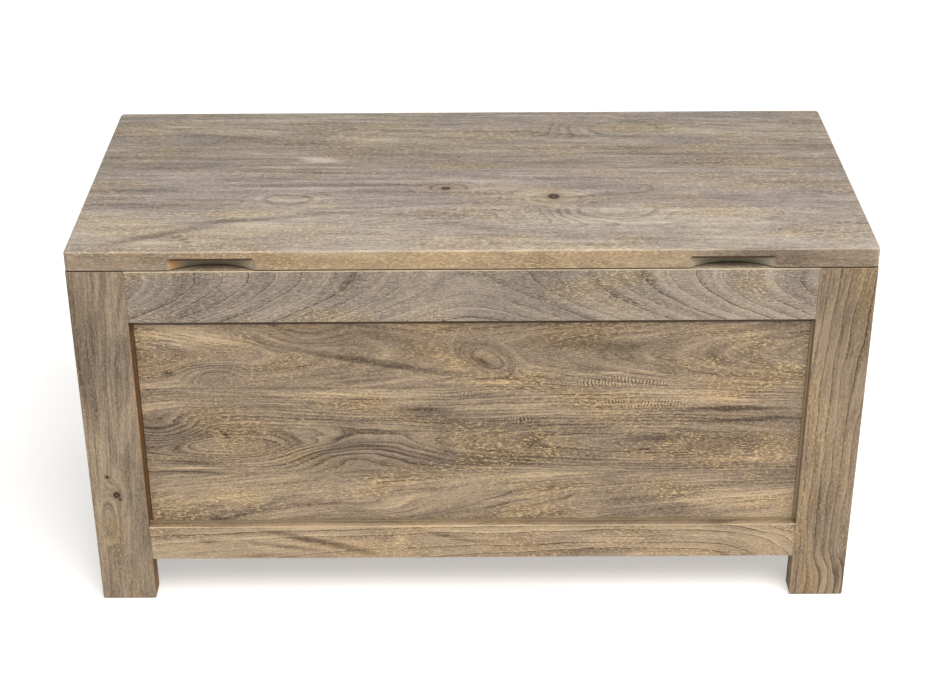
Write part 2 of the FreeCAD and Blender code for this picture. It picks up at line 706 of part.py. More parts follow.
def new_stay_arm(name, sign):
    # The arm hangs from its pivot, which is the origin of its own frame.
    body = doc.addObject("PartDesign::Body", name)
    sketch = body.newObject("Sketcher::SketchObject", f"{name}_outline")
    sketch.AttachmentSupport = [(origin_plane(body, "YZ_Plane"), "")]
    sketch.MapMode = "FlatFace"
    add_round_slot(sketch, "0", f"{SLOT_END} + stud_radius", "stay_arm_width / 2")
    add_round_slot(sketch, SLOT_START, SLOT_END, "stud_radius + stay_clearance")
    plate = body.newObject("PartDesign::Pad", f"{name}_plate")
    plate.Profile = sketch
    plate.SideType = "Symmetric"
    bind(plate, "Length", "stay_arm_thickness")
    add_cylinder(body, "Subtractive", "pivot_hole", ("-stay_arm_thickness", "0", "0"), "right",
                 "rivet_radius + rivet_clearance", "2 * stay_arm_thickness")
    body.Placement = Placement(Vector(), Rotation(DIRECTIONS["right"], 0))
    bind(body, "Placement.Base.x", f"{sign} * ({INNER_WIDTH} - stay_standoff - stay_arm_thickness / 2)")
    bind(body, "Placement.Base.y", PIVOT_Y)
    bind(body, "Placement.Base.z", PIVOT_Z)
    bind(body, "Placement.Rotation.Angle", f"({PIVOT_ANGLE} + {STUD_ANGLE}) / 2")
    return body


def new_bracket(name, sign):
    # A bent steel bracket: a plate under the lid and an ear that carries the pivot.
    ear_face = f"({INNER_WIDTH} - ({STUD_HEAD_SIDE}))"
    depth = (f"{PIVOT_Y} - bracket_width / 2", f"{PIVOT_Y} + bracket_width / 2")
    body = new_board(name, span(sign, f"{ear_face} - bracket_length", ear_face), depth,
                     (f"{LID_UNDER} - bracket_thickness", LID_UNDER))
    add_box(body, "Additive", "ear", span(sign, f"{ear_face} - bracket_thickness", ear_face), depth,
            (f"{PIVOT_Z} - bracket_ear_drop", LID_UNDER))
    ease(body, "Fillet", "bracket_bend_radius", f"x{'-' if sign < 0 else '+'}z+")
    add_cylinder(body, "Subtractive", "pivot_hole", (f"{sign} * ({ear_face} - 2 * bracket_thickness)",
                 PIVOT_Y, PIVOT_Z), "left" if sign < 0 else "right",
                 "rivet_radius + rivet_clearance", "3 * bracket_thickness")
    return body


RIVET_OUTER = "stay_standoff - rivet_clearance"
RIVET_INNER = f"{STUD_HEAD_SIDE} + bracket_thickness"
rivet = new_turning("rivet", "XZ_Plane", "V_Axis", [
    ("0", f"{RIVET_OUTER} - rivet_head_length"),
    ("rivet_head_radius", f"{RIVET_OUTER} - rivet_head_length"),
    ("rivet_head_radius", RIVET_OUTER),
    ("rivet_radius", RIVET_OUTER),
    ("rivet_radius", RIVET_INNER),
    ("rivet_head_radius", RIVET_INNER),
    ("rivet_head_radius", f"{RIVET_INNER} + rivet_head_length"),
    ("0", f"{RIVET_INNER} + rivet_head_length"),
])
for hand, sign in HANDS:
    arm = new_stay_arm(f"{hand}_stay_arm", sign)
    node(arm, arm.Name)
    bracket = new_bracket(f"{hand}_stay_bracket", sign)
    drilled(bracket.Name, bracket, bracket_holes)
    rivet_place = (f"{sign} * {INNER_WIDTH}", PIVOT_Y, PIVOT_Z)
    node(copies(f"{hand}_stay_rivet", rivet, [rivet_place], hand), f"{hand}_stay_rivet")


# Checks, then one file for each piece

doc.recompute()
for item in doc.Objects:
    if {"Invalid", "Error"} & set(item.State):
        raise RuntimeError(f"{item.Label} failed to build")
for item in nodes:
    if item.Shape.isNull() or not item.Shape.isValid() or not item.Shape.Solids:
        raise RuntimeError(f"{item.Label} has no sound solid")

os.makedirs("parts", exist_ok=True)
for item in nodes:
    item.Shape.exportStep(f"parts/{item.Label}.step")
print(len(nodes), "pieces written")
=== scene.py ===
import json
import math
import random

import bmesh
import bpy
from mathutils import Matrix, Vector


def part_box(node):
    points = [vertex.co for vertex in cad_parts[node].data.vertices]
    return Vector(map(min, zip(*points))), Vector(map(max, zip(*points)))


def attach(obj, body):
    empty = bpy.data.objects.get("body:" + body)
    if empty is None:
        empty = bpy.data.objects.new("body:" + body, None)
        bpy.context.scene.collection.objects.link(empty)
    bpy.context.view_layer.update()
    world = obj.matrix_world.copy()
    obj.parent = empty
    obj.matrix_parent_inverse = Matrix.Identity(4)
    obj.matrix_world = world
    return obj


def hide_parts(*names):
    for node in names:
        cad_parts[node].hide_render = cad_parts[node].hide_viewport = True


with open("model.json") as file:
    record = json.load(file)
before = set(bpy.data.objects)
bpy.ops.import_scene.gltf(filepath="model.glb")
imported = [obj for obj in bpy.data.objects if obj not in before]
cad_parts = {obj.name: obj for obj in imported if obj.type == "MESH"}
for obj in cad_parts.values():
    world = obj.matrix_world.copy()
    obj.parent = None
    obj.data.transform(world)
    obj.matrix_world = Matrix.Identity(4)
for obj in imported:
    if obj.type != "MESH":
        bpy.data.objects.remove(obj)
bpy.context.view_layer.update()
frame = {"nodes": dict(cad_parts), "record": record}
nodes = frame["nodes"]
scene = bpy.context.scene
print("frame loaded:", len(nodes), "nodes")


# Colours and shader nodes

def hexColor(text):
    # sRGB hex to the linear colour that a socket takes
    parts = [int(text[i:i + 2], 16) / 255 for i in (1, 3, 5)]
    return tuple(p / 12.92 if p < 0.04045 else ((p + 0.055) / 1.055) ** 2.4 for p in parts) + (1,)


def perMm(along, across, deep):
    # pattern sizes in millimetres to a scale for a point in millimetres
    return (1 / along, 1 / across, 1 / deep)


def addNode(tree, kind, *values, **settings):
    # a node with its settings, its values in socket order, and links from other nodes
    node = tree.nodes.new("ShaderNode" + kind)
    for key, value in settings.items():
        setattr(node, key, value)
    for socket, value in zip([s for s in node.inputs if s.enabled], values):
        if isinstance(value, bpy.types.Node):
            value = next(s for s in value.outputs if s.enabled)
        if isinstance(value, bpy.types.NodeSocket):
            tree.links.new(value, socket)
        elif value is not None:
            socket.default_value = value
    return node


def newMaterial(name):
    material = bpy.data.materials.new(name)
    material.use_nodes = True
    material.node_tree.nodes.clear()
    return material, material.node_tree


# Mango wood, planed and brushed, under a thin grey-brown wash. The eye gets thin dark growth lines
# round the board's heart, fine fibres and specks, pale flecks where the wash wore off, dark joints.

woodDefaults = {
    "axes": "XZY",            # along the grain, across the face, into the board
    "face": (0.0, 1),         # where the show face lies on the third axis, mm, and which way is in
    "dark": "#55483b",
    "mid": "#948371",
    "pale": "#c6b293",
    "warm": "#fff1d4",        # multiplied in, as cool is
    "cool": "#e3e1e7",
    "fleckAndHighlightColor": "#d0bb92",  # flecks, and worn edges with their painted highlight
    "tone": 0.5,              # 0 is dark, 0.5 is mid, 1 is pale
    "heart": 0.0,             # where the heart of the tree lies across the face, mm
    "depth": 60.0,            # how deep it lies, mm
    "slope": 0.0,             # how fast it sinks along the grain
    "fold": 0.0,              # how fast it sinks both ways from foldAt
    "foldAt": 0.0,
    "tilt": 0.0,              # how fast it climbs across the face, away from foldAt
    "ring": 8.0,              # ring spacing, mm
    "line": 2.1,              # dark line at the end of a ring, mm on the face
    "ringDark": 0.4,          # how much darker a ring line is than the wood
    "ringShare": 0.5,         # how much of the board shows its rings
    "sway": 10.0,             # sideways sway of the grain, mm
    "streak": 0.5,            # strength of long streaks and threads
    "follow": 0.6,            # how closely streaks follow the rings, else the grain
    "blotch": 0.45,           # strength of broad clouds
    "fleck": 0.5,             # strength of pale flecks
    "grit": 0.32,             # strength of short dashes
    "speck": 0.42,            # strength of the finest grain
    "coarse": 1.0,            # the finest patterns are drawn this much coarser, so that they show
    "warmth": 0.5,            # strength of the warm tint, in patches
    "coolness": 0.5,          # strength of the cool tint, in clouds
    "wearAndHighlight": 0.4,              # how pale worn edges get, with a painted highlight on those that face up
    "wearAndHighlightWidth": 2.2,         # mm
    "marks": (),              # (along, across, turn, half length, half width, ring lift, shade)
    "knots": (),              # (along, across, half length, half width)
    "seams": (),              # glue lines, mm; other values may then list one number per strip
    "ripples": (),            # (along, across, half length, half width, power)
    "sideTintAndSunlight": None,         # (normal axis, sign, hex in the middle, hex beyond reach, reach): a side's own tint, and painted sunlight on a side that faces the light
    "shoulder": None,         # where the board ends against another, mm from the middle
    "revealLightAndShade": (),            # (way, sign, start, hex) of painted light and shade on the low strips round a panel's field
    "rims": (),               # (across, solid, faded, power) of painted shadow lines along a covered edge
    "ledgeShade": None,            # (start, full) depths of painted shade on a ledge that faces up, mm
    "pulls": None,            # (middle, half width, ceiling below the top, front) of finger pulls, with painted shadow and light inside
    "seed": 1,
}

woodFigure = {
    "fineSway": 4.4,          # small trembles of the grain, mm
    "roughSway": 0.7,
    "deepShare": 0.2,         # share of a sway that goes into the board
    "stripShift": (611.0, 0.0, 37.0),  # from one glued strip's place in the tree to the next, mm
    "foldRound": 60.0,        # rounding at the bottom of a fold, mm
    "leastSteep": 0.07,       # keeps a ring line from spreading where the face runs along it
    "ringUnrest": 0.8,        # wobble of the rings, in rings
    "liftShown": 0.6,         # how much more the rings show in a swirl
    "markTremble": 9.0,       # wobble of the marks' outlines, mm
    "markDepth": 60.0,        # how deep a mark reaches, mm
    "rippleSpacing": 4.3,     # mm
    "layerGain": 1.6,         # turns the strength of a layer to a change of tone
    "poreDark": 0.08,
    "paintedShadeReach": 9.0,       # how far the painted shade of a corner reaches, mm
    "reliefHeight": 0.6,      # mm
    "ior": 1.45,
    "specular": 0.3,
}

# own stains of the wood, and colours of painted shade, shadow and sunlight
stainAndShadeColors = {
    "joint": "#3d3024",       # end of a rail
    "knotHalo": "#7a6650",
    "knotRim": "#2f251c",
    "knotCore": "#7d6247",
    "rim": "#2f251b",         # painted shadow along a covered edge
    # painted shade at the back of the ledge
    "ledgeShade": "#4b3c2e",
    # painted shade in corners
    "corner": "#3a2d20",
    "pullFront": "#aaa388",   # finger pull's wall, painted darker from the front to the back
    "pullBackShade": "#8a866e",
    "pullEndSunlight": "#ab7f45",     # painted sunlight on its left end
    # painted shadow under the lip of a finger pull
    "pullLipShadow": "#35200f",
}


def mangoWood(name, **changes):
    look = {**woodDefaults, **changes}
    material, tree = newMaterial(name)
    shuffle = random.Random(look["seed"])
    coarse = look["coarse"]
    figure = woodFigure
    stainAndShade = {place: hexColor(text) for place, text in stainAndShadeColors.items()}

    def add(kind, *values, **settings):
        return addNode(tree, kind, *values, **settings)

    def pattern(point, sizes, detail, roughness):
        # soft noise whose grains have these sizes in mm
        shift = tuple(shuffle.uniform(-40, 40) for _ in range(3))
        spot = add("VectorMath", point, perMm(*sizes), shift, operation="MULTIPLY_ADD")
        return add("TexNoise", spot, 1.0, detail, roughness)

    # the board's own frame in mm: along the grain, across the face, into the board
    coord = add("TexCoord")
    sides = add("SeparateXYZ", add("VectorMath", coord.outputs["Object"], 1000.0, operation="SCALE"))
    along, across, deep = (sides.outputs[axis] for axis in look["axes"])
    faceAt, inward = look["face"]
    deep = add("Math", deep, float(inward), -faceAt * inward, operation="MULTIPLY_ADD")
    board = add("CombineXYZ", along, across, deep)
    normal = coord.outputs["Normal"]
    facings = add("SeparateXYZ", normal)
    faceOn = add("Math", facings.outputs[look["axes"][2]], operation="ABSOLUTE")

    # each glued strip of a panel comes from another place in the tree
    strips = [add("Math", across, seam, operation="GREATER_THAN") for seam in look["seams"]]
    inTree = board
    for above in strips:
        inTree = add("VectorMath", figure["stripShift"], above, inTree, operation="MULTIPLY_ADD")

    def perStrip(key):
        # a look's value, or its values from the lowest strip up
        if not isinstance(look[key], tuple):
            return look[key]
        picked = look[key][0]
        for above, low, high in zip(strips, look[key], look[key][1:]):
            picked = add("Math", above, high - low, picked, operation="MULTIPLY_ADD")
        return picked

    # slow sway of the grain, then finer trembles
    slow = pattern(inTree, (330, 90, 90), 2.0, 0.5)
    fine = pattern(inTree, (60, 18, 18), 2.0, 0.5)
    rough = pattern(inTree, (9, 4, 4), 1.0, 0.5)
    swayed = inTree
    sways = ((slow, 2 * look["sway"]), (fine, figure["fineSway"]), (rough, figure["roughSway"]))
    for shift, reach in sways:
        swayed = add("VectorMath", shift.outputs["Color"], (0.0, reach, figure["deepShare"] * reach),
                     swayed, operation="MULTIPLY_ADD")
    centre = sum(reach for shift, reach in sways) / 2
    swayed = add("VectorMath", swayed, (0.0, centre, figure["deepShare"] * centre),
                 operation="SUBTRACT")
    swayedParts = add("SeparateXYZ", swayed)

    # distance from the heart of the tree, and how steeply the face cuts the rings
    offFold = add("Math", along, perStrip("foldAt"), operation="SUBTRACT")
    away = add("CombineXYZ", offFold, figure["foldRound"], 0.0)
    away = add("VectorMath", away, operation="LENGTH").outputs["Value"]
    sink = add("Math", away, perStrip("fold"), perStrip("depth"), operation="MULTIPLY_ADD")
    sink = add("Math", along, perStrip("slope"), sink, operation="MULTIPLY_ADD")
    lean = add("Math", add("Math", offFold, away, operation="DIVIDE"), perStrip("fold"),
               perStrip("slope"), operation="MULTIPLY_ADD")
    below = add("Math", sink, swayedParts.outputs["Z"], operation="SUBTRACT")
    heart = add("Math", away, look["tilt"], perStrip("heart"), operation="MULTIPLY_ADD")
    aside = add("Math", swayedParts.outputs["Y"], heart, operation="SUBTRACT")
    radius = add("VectorMath", add("CombineXYZ", 0.0, aside, below),
                 operation="LENGTH").outputs["Value"]
    leaning = add("CombineXYZ", 0.0, aside, add("Math", below, lean, operation="MULTIPLY"))
    steep = add("VectorMath", leaning, operation="LENGTH").outputs["Value"]
    steep = add("Math", steep, radius, operation="DIVIDE")
    steep = add("Math", steep, figure["leastSteep"], operation="MAXIMUM")

    # marks lift the rings into eyes and swirls, and shade the wood
    trembled = add("VectorMath", fine.outputs["Color"], (0.0, figure["markTremble"], 0.0), board,
                   operation="MULTIPLY_ADD")

    def reachFrom(x, y, turn, halfLong, halfWide):
        # 0 in the middle of an oval on the face, 1 on its rim
        place = (x, y + figure["markTremble"] / 2, 0.0)
        spot = add("Mapping", trembled, place, (0.0, 0.0, math.radians(turn)),
                   (halfLong, halfWide, figure["markDepth"]), vector_type="TEXTURE")
        return add("VectorMath", spot, operation="LENGTH").outputs["Value"]

    shades = 0.0
    lifted = 0.0
    for x, y, turn, halfLong, halfWide, lift, shade in look["marks"]:
        soft = add("MapRange", reachFrom(x, y, turn, halfLong, halfWide), 0.0, 1.0, 1.0, 0.0,
                   interpolation_type="SMOOTHSTEP")
        if lift:
            radius = add("Math", soft, lift, radius, operation="MULTIPLY_ADD")
            lifted = add("Math", soft, lifted, operation="MAXIMUM")
            # the rings of a lifted place are cut more steeply, most on its slope
            rising = add("Math", 1.0, soft, operation="SUBTRACT")
            rising = add("Math", soft, rising, operation="MULTIPLY")
            steep = add("Math", rising, 6 * abs(lift) / halfWide, steep, operation="MULTIPLY_ADD")
        if shade:
            shades = add("Math", soft, shade, shades, operation="MULTIPLY_ADD")

    # growth rings: a slow rise to a thin dark line with a pale one beside it, each with its strength
    phase = add("Math", radius, 1 / look["ring"], operation="MULTIPLY")
    unrest = add("Math", fine.outputs["Fac"], steep, operation="MULTIPLY")
    phase = add("Math", unrest, figure["ringUnrest"], phase, operation="MULTIPLY_ADD")
    step = add("Math", phase, operation="FRACT")
    toLine = add("Math", step, -look["ring"], look["ring"], operation="MULTIPLY_ADD")
    toLine = add("Math", toLine, steep, operation="DIVIDE")
    line = add("MapRange", toLine, 0.0, look["line"], 0.75, 0.0, interpolation_type="SMOOTHSTEP")
    rise = add("MapRange", step, 0.35, 1.0, 0.0, 0.25)
    fromLine = add("Math", step, look["ring"], operation="MULTIPLY")
    fromLine = add("Math", fromLine, steep, operation="DIVIDE")
    bright = add("MapRange", fromLine, 0.2, 1.4 * look["line"], -0.36, 0.0,
                 interpolation_type="SMOOTHSTEP")
    rise = add("Math", rise, bright, operation="ADD")
    ringPower = add("TexWhiteNoise", add("Math", phase, operation="FLOOR"), noise_dimensions="1D")
    ringPower = add("MapRange", ringPower, 0.0, 1.0, 0.2, 1.0)
    shown = pattern(board, (240, 60, 60), 1.0, 0.5)
    hidden = 0.62 - 0.4 * look["ringShare"]  # below this level of the noise
    shown = add("MapRange", shown, hidden, hidden + 0.13, 0.15, 1.0,
                interpolation_type="SMOOTHSTEP")
    shown = add("Math", lifted, figure["liftShown"], shown, operation="MULTIPLY_ADD")
    shown = add("Math", shown, add("MapRange", faceOn, 0.4, 0.8, 0.25, 1.0), operation="MULTIPLY")
    ringLine = add("Math", add("Math", rise, line, operation="ADD"), ringPower, operation="MULTIPLY")
    ringLine = add("Math", ringLine, shown, operation="MULTIPLY")

    # streaks run partly along the rings, dashes and specks along the grain
    flow = add("Math", swayedParts.outputs["Y"], 1 - look["follow"], operation="MULTIPLY")
    flow = add("Math", radius, look["follow"], flow, operation="MULTIPLY_ADD")
    flow = add("CombineXYZ", along, flow, deep)
    streak = pattern(flow, (260, 8, 60), 3.0, 0.55)
    thread = pattern(flow, (60, 2.4 * coarse, 30), 3.0, 0.6)
    blotch = pattern(flow, (170, 38, 80), 3.0, 0.55)
    dash = pattern(swayed, (11 * coarse, 1.9 * coarse, 1.9), 2.0, 0.6)
    speck = pattern(board, (2.6 * coarse, 1.5 * coarse, 1.5), 1.0, 0.5)
    patch = pattern(board, (150, 48, 48), 2.0, 0.5)
    fleck = pattern(swayed, (5.5, 1.6 * coarse, 1.6), 3.0, 0.65)
    fleck = add("MapRange", fleck, 0.51, 0.64, 0.0, 1.0, interpolation_type="SMOOTHSTEP")
    # more flecks in patches and where marks are pale, fewer in swirls
    for layer, low, high, atLow, atHigh in ((patch, 0.4, 0.62, 0.36, 0.95),
                                            (shades, -0.2, 0.25, 0.5, 1.6),
                                            (lifted, 0.1, 0.8, 1.0, 0.3)):
        there = add("MapRange", layer, low, high, atLow, atHigh)
        fleck = add("Math", fleck, there, operation="MULTIPLY")
    pore = pattern(swayed, (9, 1.7 * coarse, 1.7), 2.0, 0.5)
    pore = add("MapRange", pore, 0.58, 0.7, 0.0, 1.0)

    # all layers change one tone, and the tone picks the colour
    tone = add("Math", ringLine, -look["ringDark"], perStrip("tone"), operation="MULTIPLY_ADD")
    streaky = add("MapRange", thread, 0.35, 0.65, 0.6, 1.4)
    tone = add("Math", shades, streaky, tone, operation="MULTIPLY_ADD")
    for layer, power in ((streak, look["streak"]), (thread, look["streak"]),
                         (blotch, look["blotch"]), (dash, look["grit"]), (speck, look["speck"])):
        centred = add("Math", layer, 0.5, operation="SUBTRACT")
        tone = add("Math", centred, power * figure["layerGain"], tone, operation="MULTIPLY_ADD")
    tone = add("Math", pore, -figure["poreDark"], tone, operation="MULTIPLY_ADD")
    if look["ripples"]:
        # cross ripple: rows of short bars that stand across the grain
        uneven = add("Math", pattern(board, (26, 9, 9), 2.0, 0.6), 16.0, operation="MULTIPLY")
        bars = add("Math", along, 2 * math.pi / figure["rippleSpacing"], uneven,
                   operation="MULTIPLY_ADD")
        bars = add("Math", bars, operation="SINE")
        gate = add("MapRange", pattern(board, (16, 7, 7), 1.0, 0.5), 0.38, 0.6, 0.1, 1.0)
        bars = add("Math", bars, gate, operation="MULTIPLY")
        for x, y, halfLong, halfWide, power in look["ripples"]:
            soft = add("MapRange", reachFrom(x, y, 0.0, halfLong, halfWide), 0.3, 1.0, power, 0.0,
                       interpolation_type="SMOOTHSTEP")
            tone = add("Math", bars, soft, tone, operation="MULTIPLY_ADD")

    color = add("Mix", add("MapRange", tone, 0.0, 0.5, 0.0, 1.0), hexColor(look["dark"]),
                hexColor(look["mid"]), data_type="RGBA")
    color = add("Mix", add("MapRange", tone, 0.5, 1.0, 0.0, 1.0), color, hexColor(look["pale"]),
                data_type="RGBA")
    for layer, bare, full, power, tint in ((patch, 0.46, 0.66, look["warmth"], look["warm"]),
                                           (blotch, 0.52, 0.36, look["coolness"], look["cool"])):
        there = add("MapRange", layer, bare, full, 0.0, power, interpolation_type="SMOOTHSTEP")
        color = add("Mix", there, color, hexColor(tint), data_type="RGBA", blend_type="MULTIPLY")
    color = add("Mix", add("Math", fleck, perStrip("fleck"), operation="MULTIPLY"), color,
                hexColor(look["fleckAndHighlightColor"]), data_type="RGBA")

    # glue lines, and the dark line where a rail ends against a stile
    for seam in look["seams"]:
        off = add("Math", add("Math", fine.outputs["Fac"], 1.2, across, operation="MULTIPLY_ADD"),
                  seam + 0.6, operation="SUBTRACT")
        glue = add("MapRange", add("Math", off, operation="ABSOLUTE"), 0.3, 1.2, 0.3, 0.0)
        color = add("Mix", glue, color, hexColor(look["dark"]), data_type="RGBA")
    if look["shoulder"]:
        end = add("Math", along, operation="ABSOLUTE")
        end = add("MapRange", end, look["shoulder"] - 1.6, look["shoulder"] - 0.4, 0.0, 0.7)
        color = add("Mix", end, color, stainAndShade["joint"], data_type="RGBA")

    # painted shade and painted light on the low strips round the field
    for way, sign, start, tint in look["revealLightAndShade"]:
        out = add("Math", along if way == "along" else across, sign, operation="MULTIPLY")
        out = add("MapRange", out, start - 0.4, start + 0.4, 0.0, 0.85)
        color = add("Mix", out, color, hexColor(tint), data_type="RGBA")

    # knots: a dark ring round a brown core
    for x, y, halfLong, halfWide in look["knots"]:
        reach = reachFrom(x, y, 0.0, halfLong, halfWide)
        halo = add("MapRange", reach, 0.8, 2.4, 0.5, 0.0, interpolation_type="SMOOTHSTEP")
        core = add("MapRange", reach, 0.75, 1.1, 1.0, 0.0, interpolation_type="SMOOTHSTEP")
        middle = add("MapRange", reach, 0.1, 0.6, 0.45, 0.0, interpolation_type="SMOOTHSTEP")
        color = add("Mix", halo, color, stainAndShade["knotHalo"], data_type="RGBA")
        color = add("Mix", core, color, stainAndShade["knotRim"], data_type="RGBA")
        color = add("Mix", middle, color, stainAndShade["knotCore"], data_type="RGBA")

    # faces turned away from the show face take a tint: the lid's front edge its own, the left stile's
    # inner face painted sunlight
    if look["sideTintAndSunlight"]:
        axis, sign, nearTint, farTint, reach = look["sideTintAndSunlight"]
        facing = add("Math", facings.outputs[axis], float(sign), operation="MULTIPLY")
        far = add("Math", add("Math", along, operation="ABSOLUTE"), reach, operation="SUBTRACT")
        far = add("MapRange", far, -6.0, 6.0, 0.0, 1.0, interpolation_type="SMOOTHSTEP")
        tint = add("Mix", far, hexColor(nearTint), hexColor(farTint), data_type="RGBA")
        tinted = add("Mix", 1.0, color, tint, data_type="RGBA", blend_type="MULTIPLY")
        color = add("Mix", add("MapRange", facing, 0.4, 0.9, 0.0, 1.0), color, tinted,
                    data_type="RGBA")

    # painted shadow: dark lines along covered edges of the show face, as under the top rail
    for at, solid, faded, power in look["rims"]:
        off = add("Math", add("Math", across, at, operation="SUBTRACT"), operation="ABSOLUTE")
        off = add("MapRange", off, solid, faded, power, 0.0, interpolation_type="SMOOTHSTEP")
        off = add("Math", off, add("MapRange", faceOn, 0.6, 0.8, 0.0, 1.0), operation="MULTIPLY")
        color = add("Mix", off, color, stainAndShade["rim"], data_type="RGBA")
    if look["ledgeShade"]:
        # painted shade at the back of the ledge under the panel
        paintedLedgeShade = add("Math", add("MapRange", deep, *look["ledgeShade"], 0.0, 0.2),
                   add("MapRange", facings.outputs["Z"], 0.6, 0.9, 0.0, 1.0), operation="MULTIPLY")
        color = add("Mix", paintedLedgeShade, color, stainAndShade["ledgeShade"], data_type="RGBA")

    # worn edges are paler, with a painted highlight on those that face up, and corners get painted shade
    rounded = add("Bevel", look["wearAndHighlightWidth"] / 1000, samples=4)
    rounded = add("VectorTransform", rounded, vector_type="NORMAL", convert_from="WORLD",
                  convert_to="OBJECT")
    bend = add("VectorMath", rounded, normal, operation="DOT_PRODUCT").outputs["Value"]
    wornAndHighlit = add("MapRange", bend, 0.985, 0.86, 0.0, look["wearAndHighlight"], interpolation_type="SMOOTHSTEP")
    tilted = add("SeparateXYZ", add("VectorMath", normal, operation="ABSOLUTE"))
    straight = add("Math", tilted.outputs["X"], tilted.outputs["Y"], operation="MAXIMUM")
    straight = add("Math", straight, tilted.outputs["Z"], operation="MAXIMUM")
    slanted = add("MapRange", straight, 0.97, 0.85, 0.0, look["wearAndHighlight"])
    wornAndHighlit = add("Math", wornAndHighlit, slanted, operation="MAXIMUM")
    # painted highlight: edges that face up are paler than those that face down
    litFromAbove = add("MapRange", add("SeparateXYZ", rounded).outputs["Z"], 0.0, 0.4, 0.3, 1.0)
    wornAndHighlit = add("Math", wornAndHighlit, add("Math", litFromAbove, add("MapRange", patch, 0.3, 0.65, 0.5, 1.0),
               operation="MULTIPLY"), operation="MULTIPLY")
    color = add("Mix", wornAndHighlit, color, hexColor(look["fleckAndHighlightColor"]), data_type="RGBA")
    # painted shade: the wood darkens where ambient occlusion finds a corner or recess
    corner = add("AmbientOcclusion", (1, 1, 1, 1), figure["paintedShadeReach"] / 1000, samples=6)
    corner = add("MapRange", corner.outputs["AO"], 0.2, 0.75, 0.5, 0.0,
                 interpolation_type="SMOOTHSTEP")
    color = add("Mix", corner, color, stainAndShade["corner"], data_type="RGBA")

    if look["pulls"]:
        # finger pulls: a painted shadow along the lip, a grey wall whose painted shade deepens towards
        # the back, and painted sunlight on the left end
        middle, half, ceiling, front = look["pulls"]
        leftEnd = -middle - half
        near = add("Math", along, operation="ABSOLUTE")
        near = add("Math", near, middle, operation="SUBTRACT")
        near = add("Math", near, operation="ABSOLUTE")
        near = add("MapRange", near, half - 3.0, half + 2.0, 1.0, 0.0)
        lipShadow = add("Math", deep, ceiling - 0.8, operation="SUBTRACT")
        lipShadow = add("Math", lipShadow, operation="ABSOLUTE")
        lipShadow = add("MapRange", lipShadow, 1.2, 2.3, 0.95, 0.0, interpolation_type="SMOOTHSTEP")
        wallShade = add("MapRange", across, front + 0.6, front + 3.0, 0.0, 0.75)
        underLip = add("MapRange", deep, ceiling - 0.5, ceiling + 0.5, 0.0, 1.0)
        wallShade = add("Math", wallShade, underLip, operation="MULTIPLY")
        inside = add("MapRange", across, front + 5.0, front + 15.0, 0.0, 1.0)
        wallShadeTint = add("Mix", inside, stainAndShade["pullFront"], stainAndShade["pullBackShade"], data_type="RGBA")
        sunlitEnd = add("MapRange", along, leftEnd + 8, leftEnd + 15, 1.0, 0.0)
        wallShadeTint = add("Mix", sunlitEnd, wallShadeTint, stainAndShade["pullEndSunlight"], data_type="RGBA")
        notUnder = add("MapRange", facings.outputs["Z"], -0.9, -0.6, 0.0, 1.0)
        near = add("Math", near, notUnder, operation="MULTIPLY")
        for layer, tint in ((wallShade, wallShadeTint), (lipShadow, stainAndShade["pullLipShadow"])):
            there = add("Math", layer, near, operation="MULTIPLY")
            color = add("Mix", there, color, tint, data_type="RGBA")

    # streaks shine a little, flecks less, and lines and pores lie low
    gloss = add("MapRange", streak, 0.3, 0.7, 0.66, 0.54)
    gloss = add("Math", fleck, 0.08, gloss, operation="MULTIPLY_ADD")
    relief = add("Math", ringLine, -0.6, dash, operation="MULTIPLY_ADD")
    relief = add("Math", pore, -0.6, relief, operation="MULTIPLY_ADD")
    bump = add("Bump", 0.4, figure["reliefHeight"] / 1000)
    tree.links.new(relief.outputs[0], bump.inputs["Height"])
    shader = add("BsdfPrincipled", color)
    tree.links.new(gloss.outputs[0], shader.inputs["Roughness"])
    tree.links.new(bump.outputs[0], shader.inputs["Normal"])
    shader.inputs["IOR"].default_value = figure["ior"]
    shader.inputs["Specular IOR Level"].default_value = figure["specular"]
    add("OutputMaterial", shader)
    return material


def dress(name, material):
    nodes[name].data.materials.clear()
    nodes[name].data.materials.append(material)


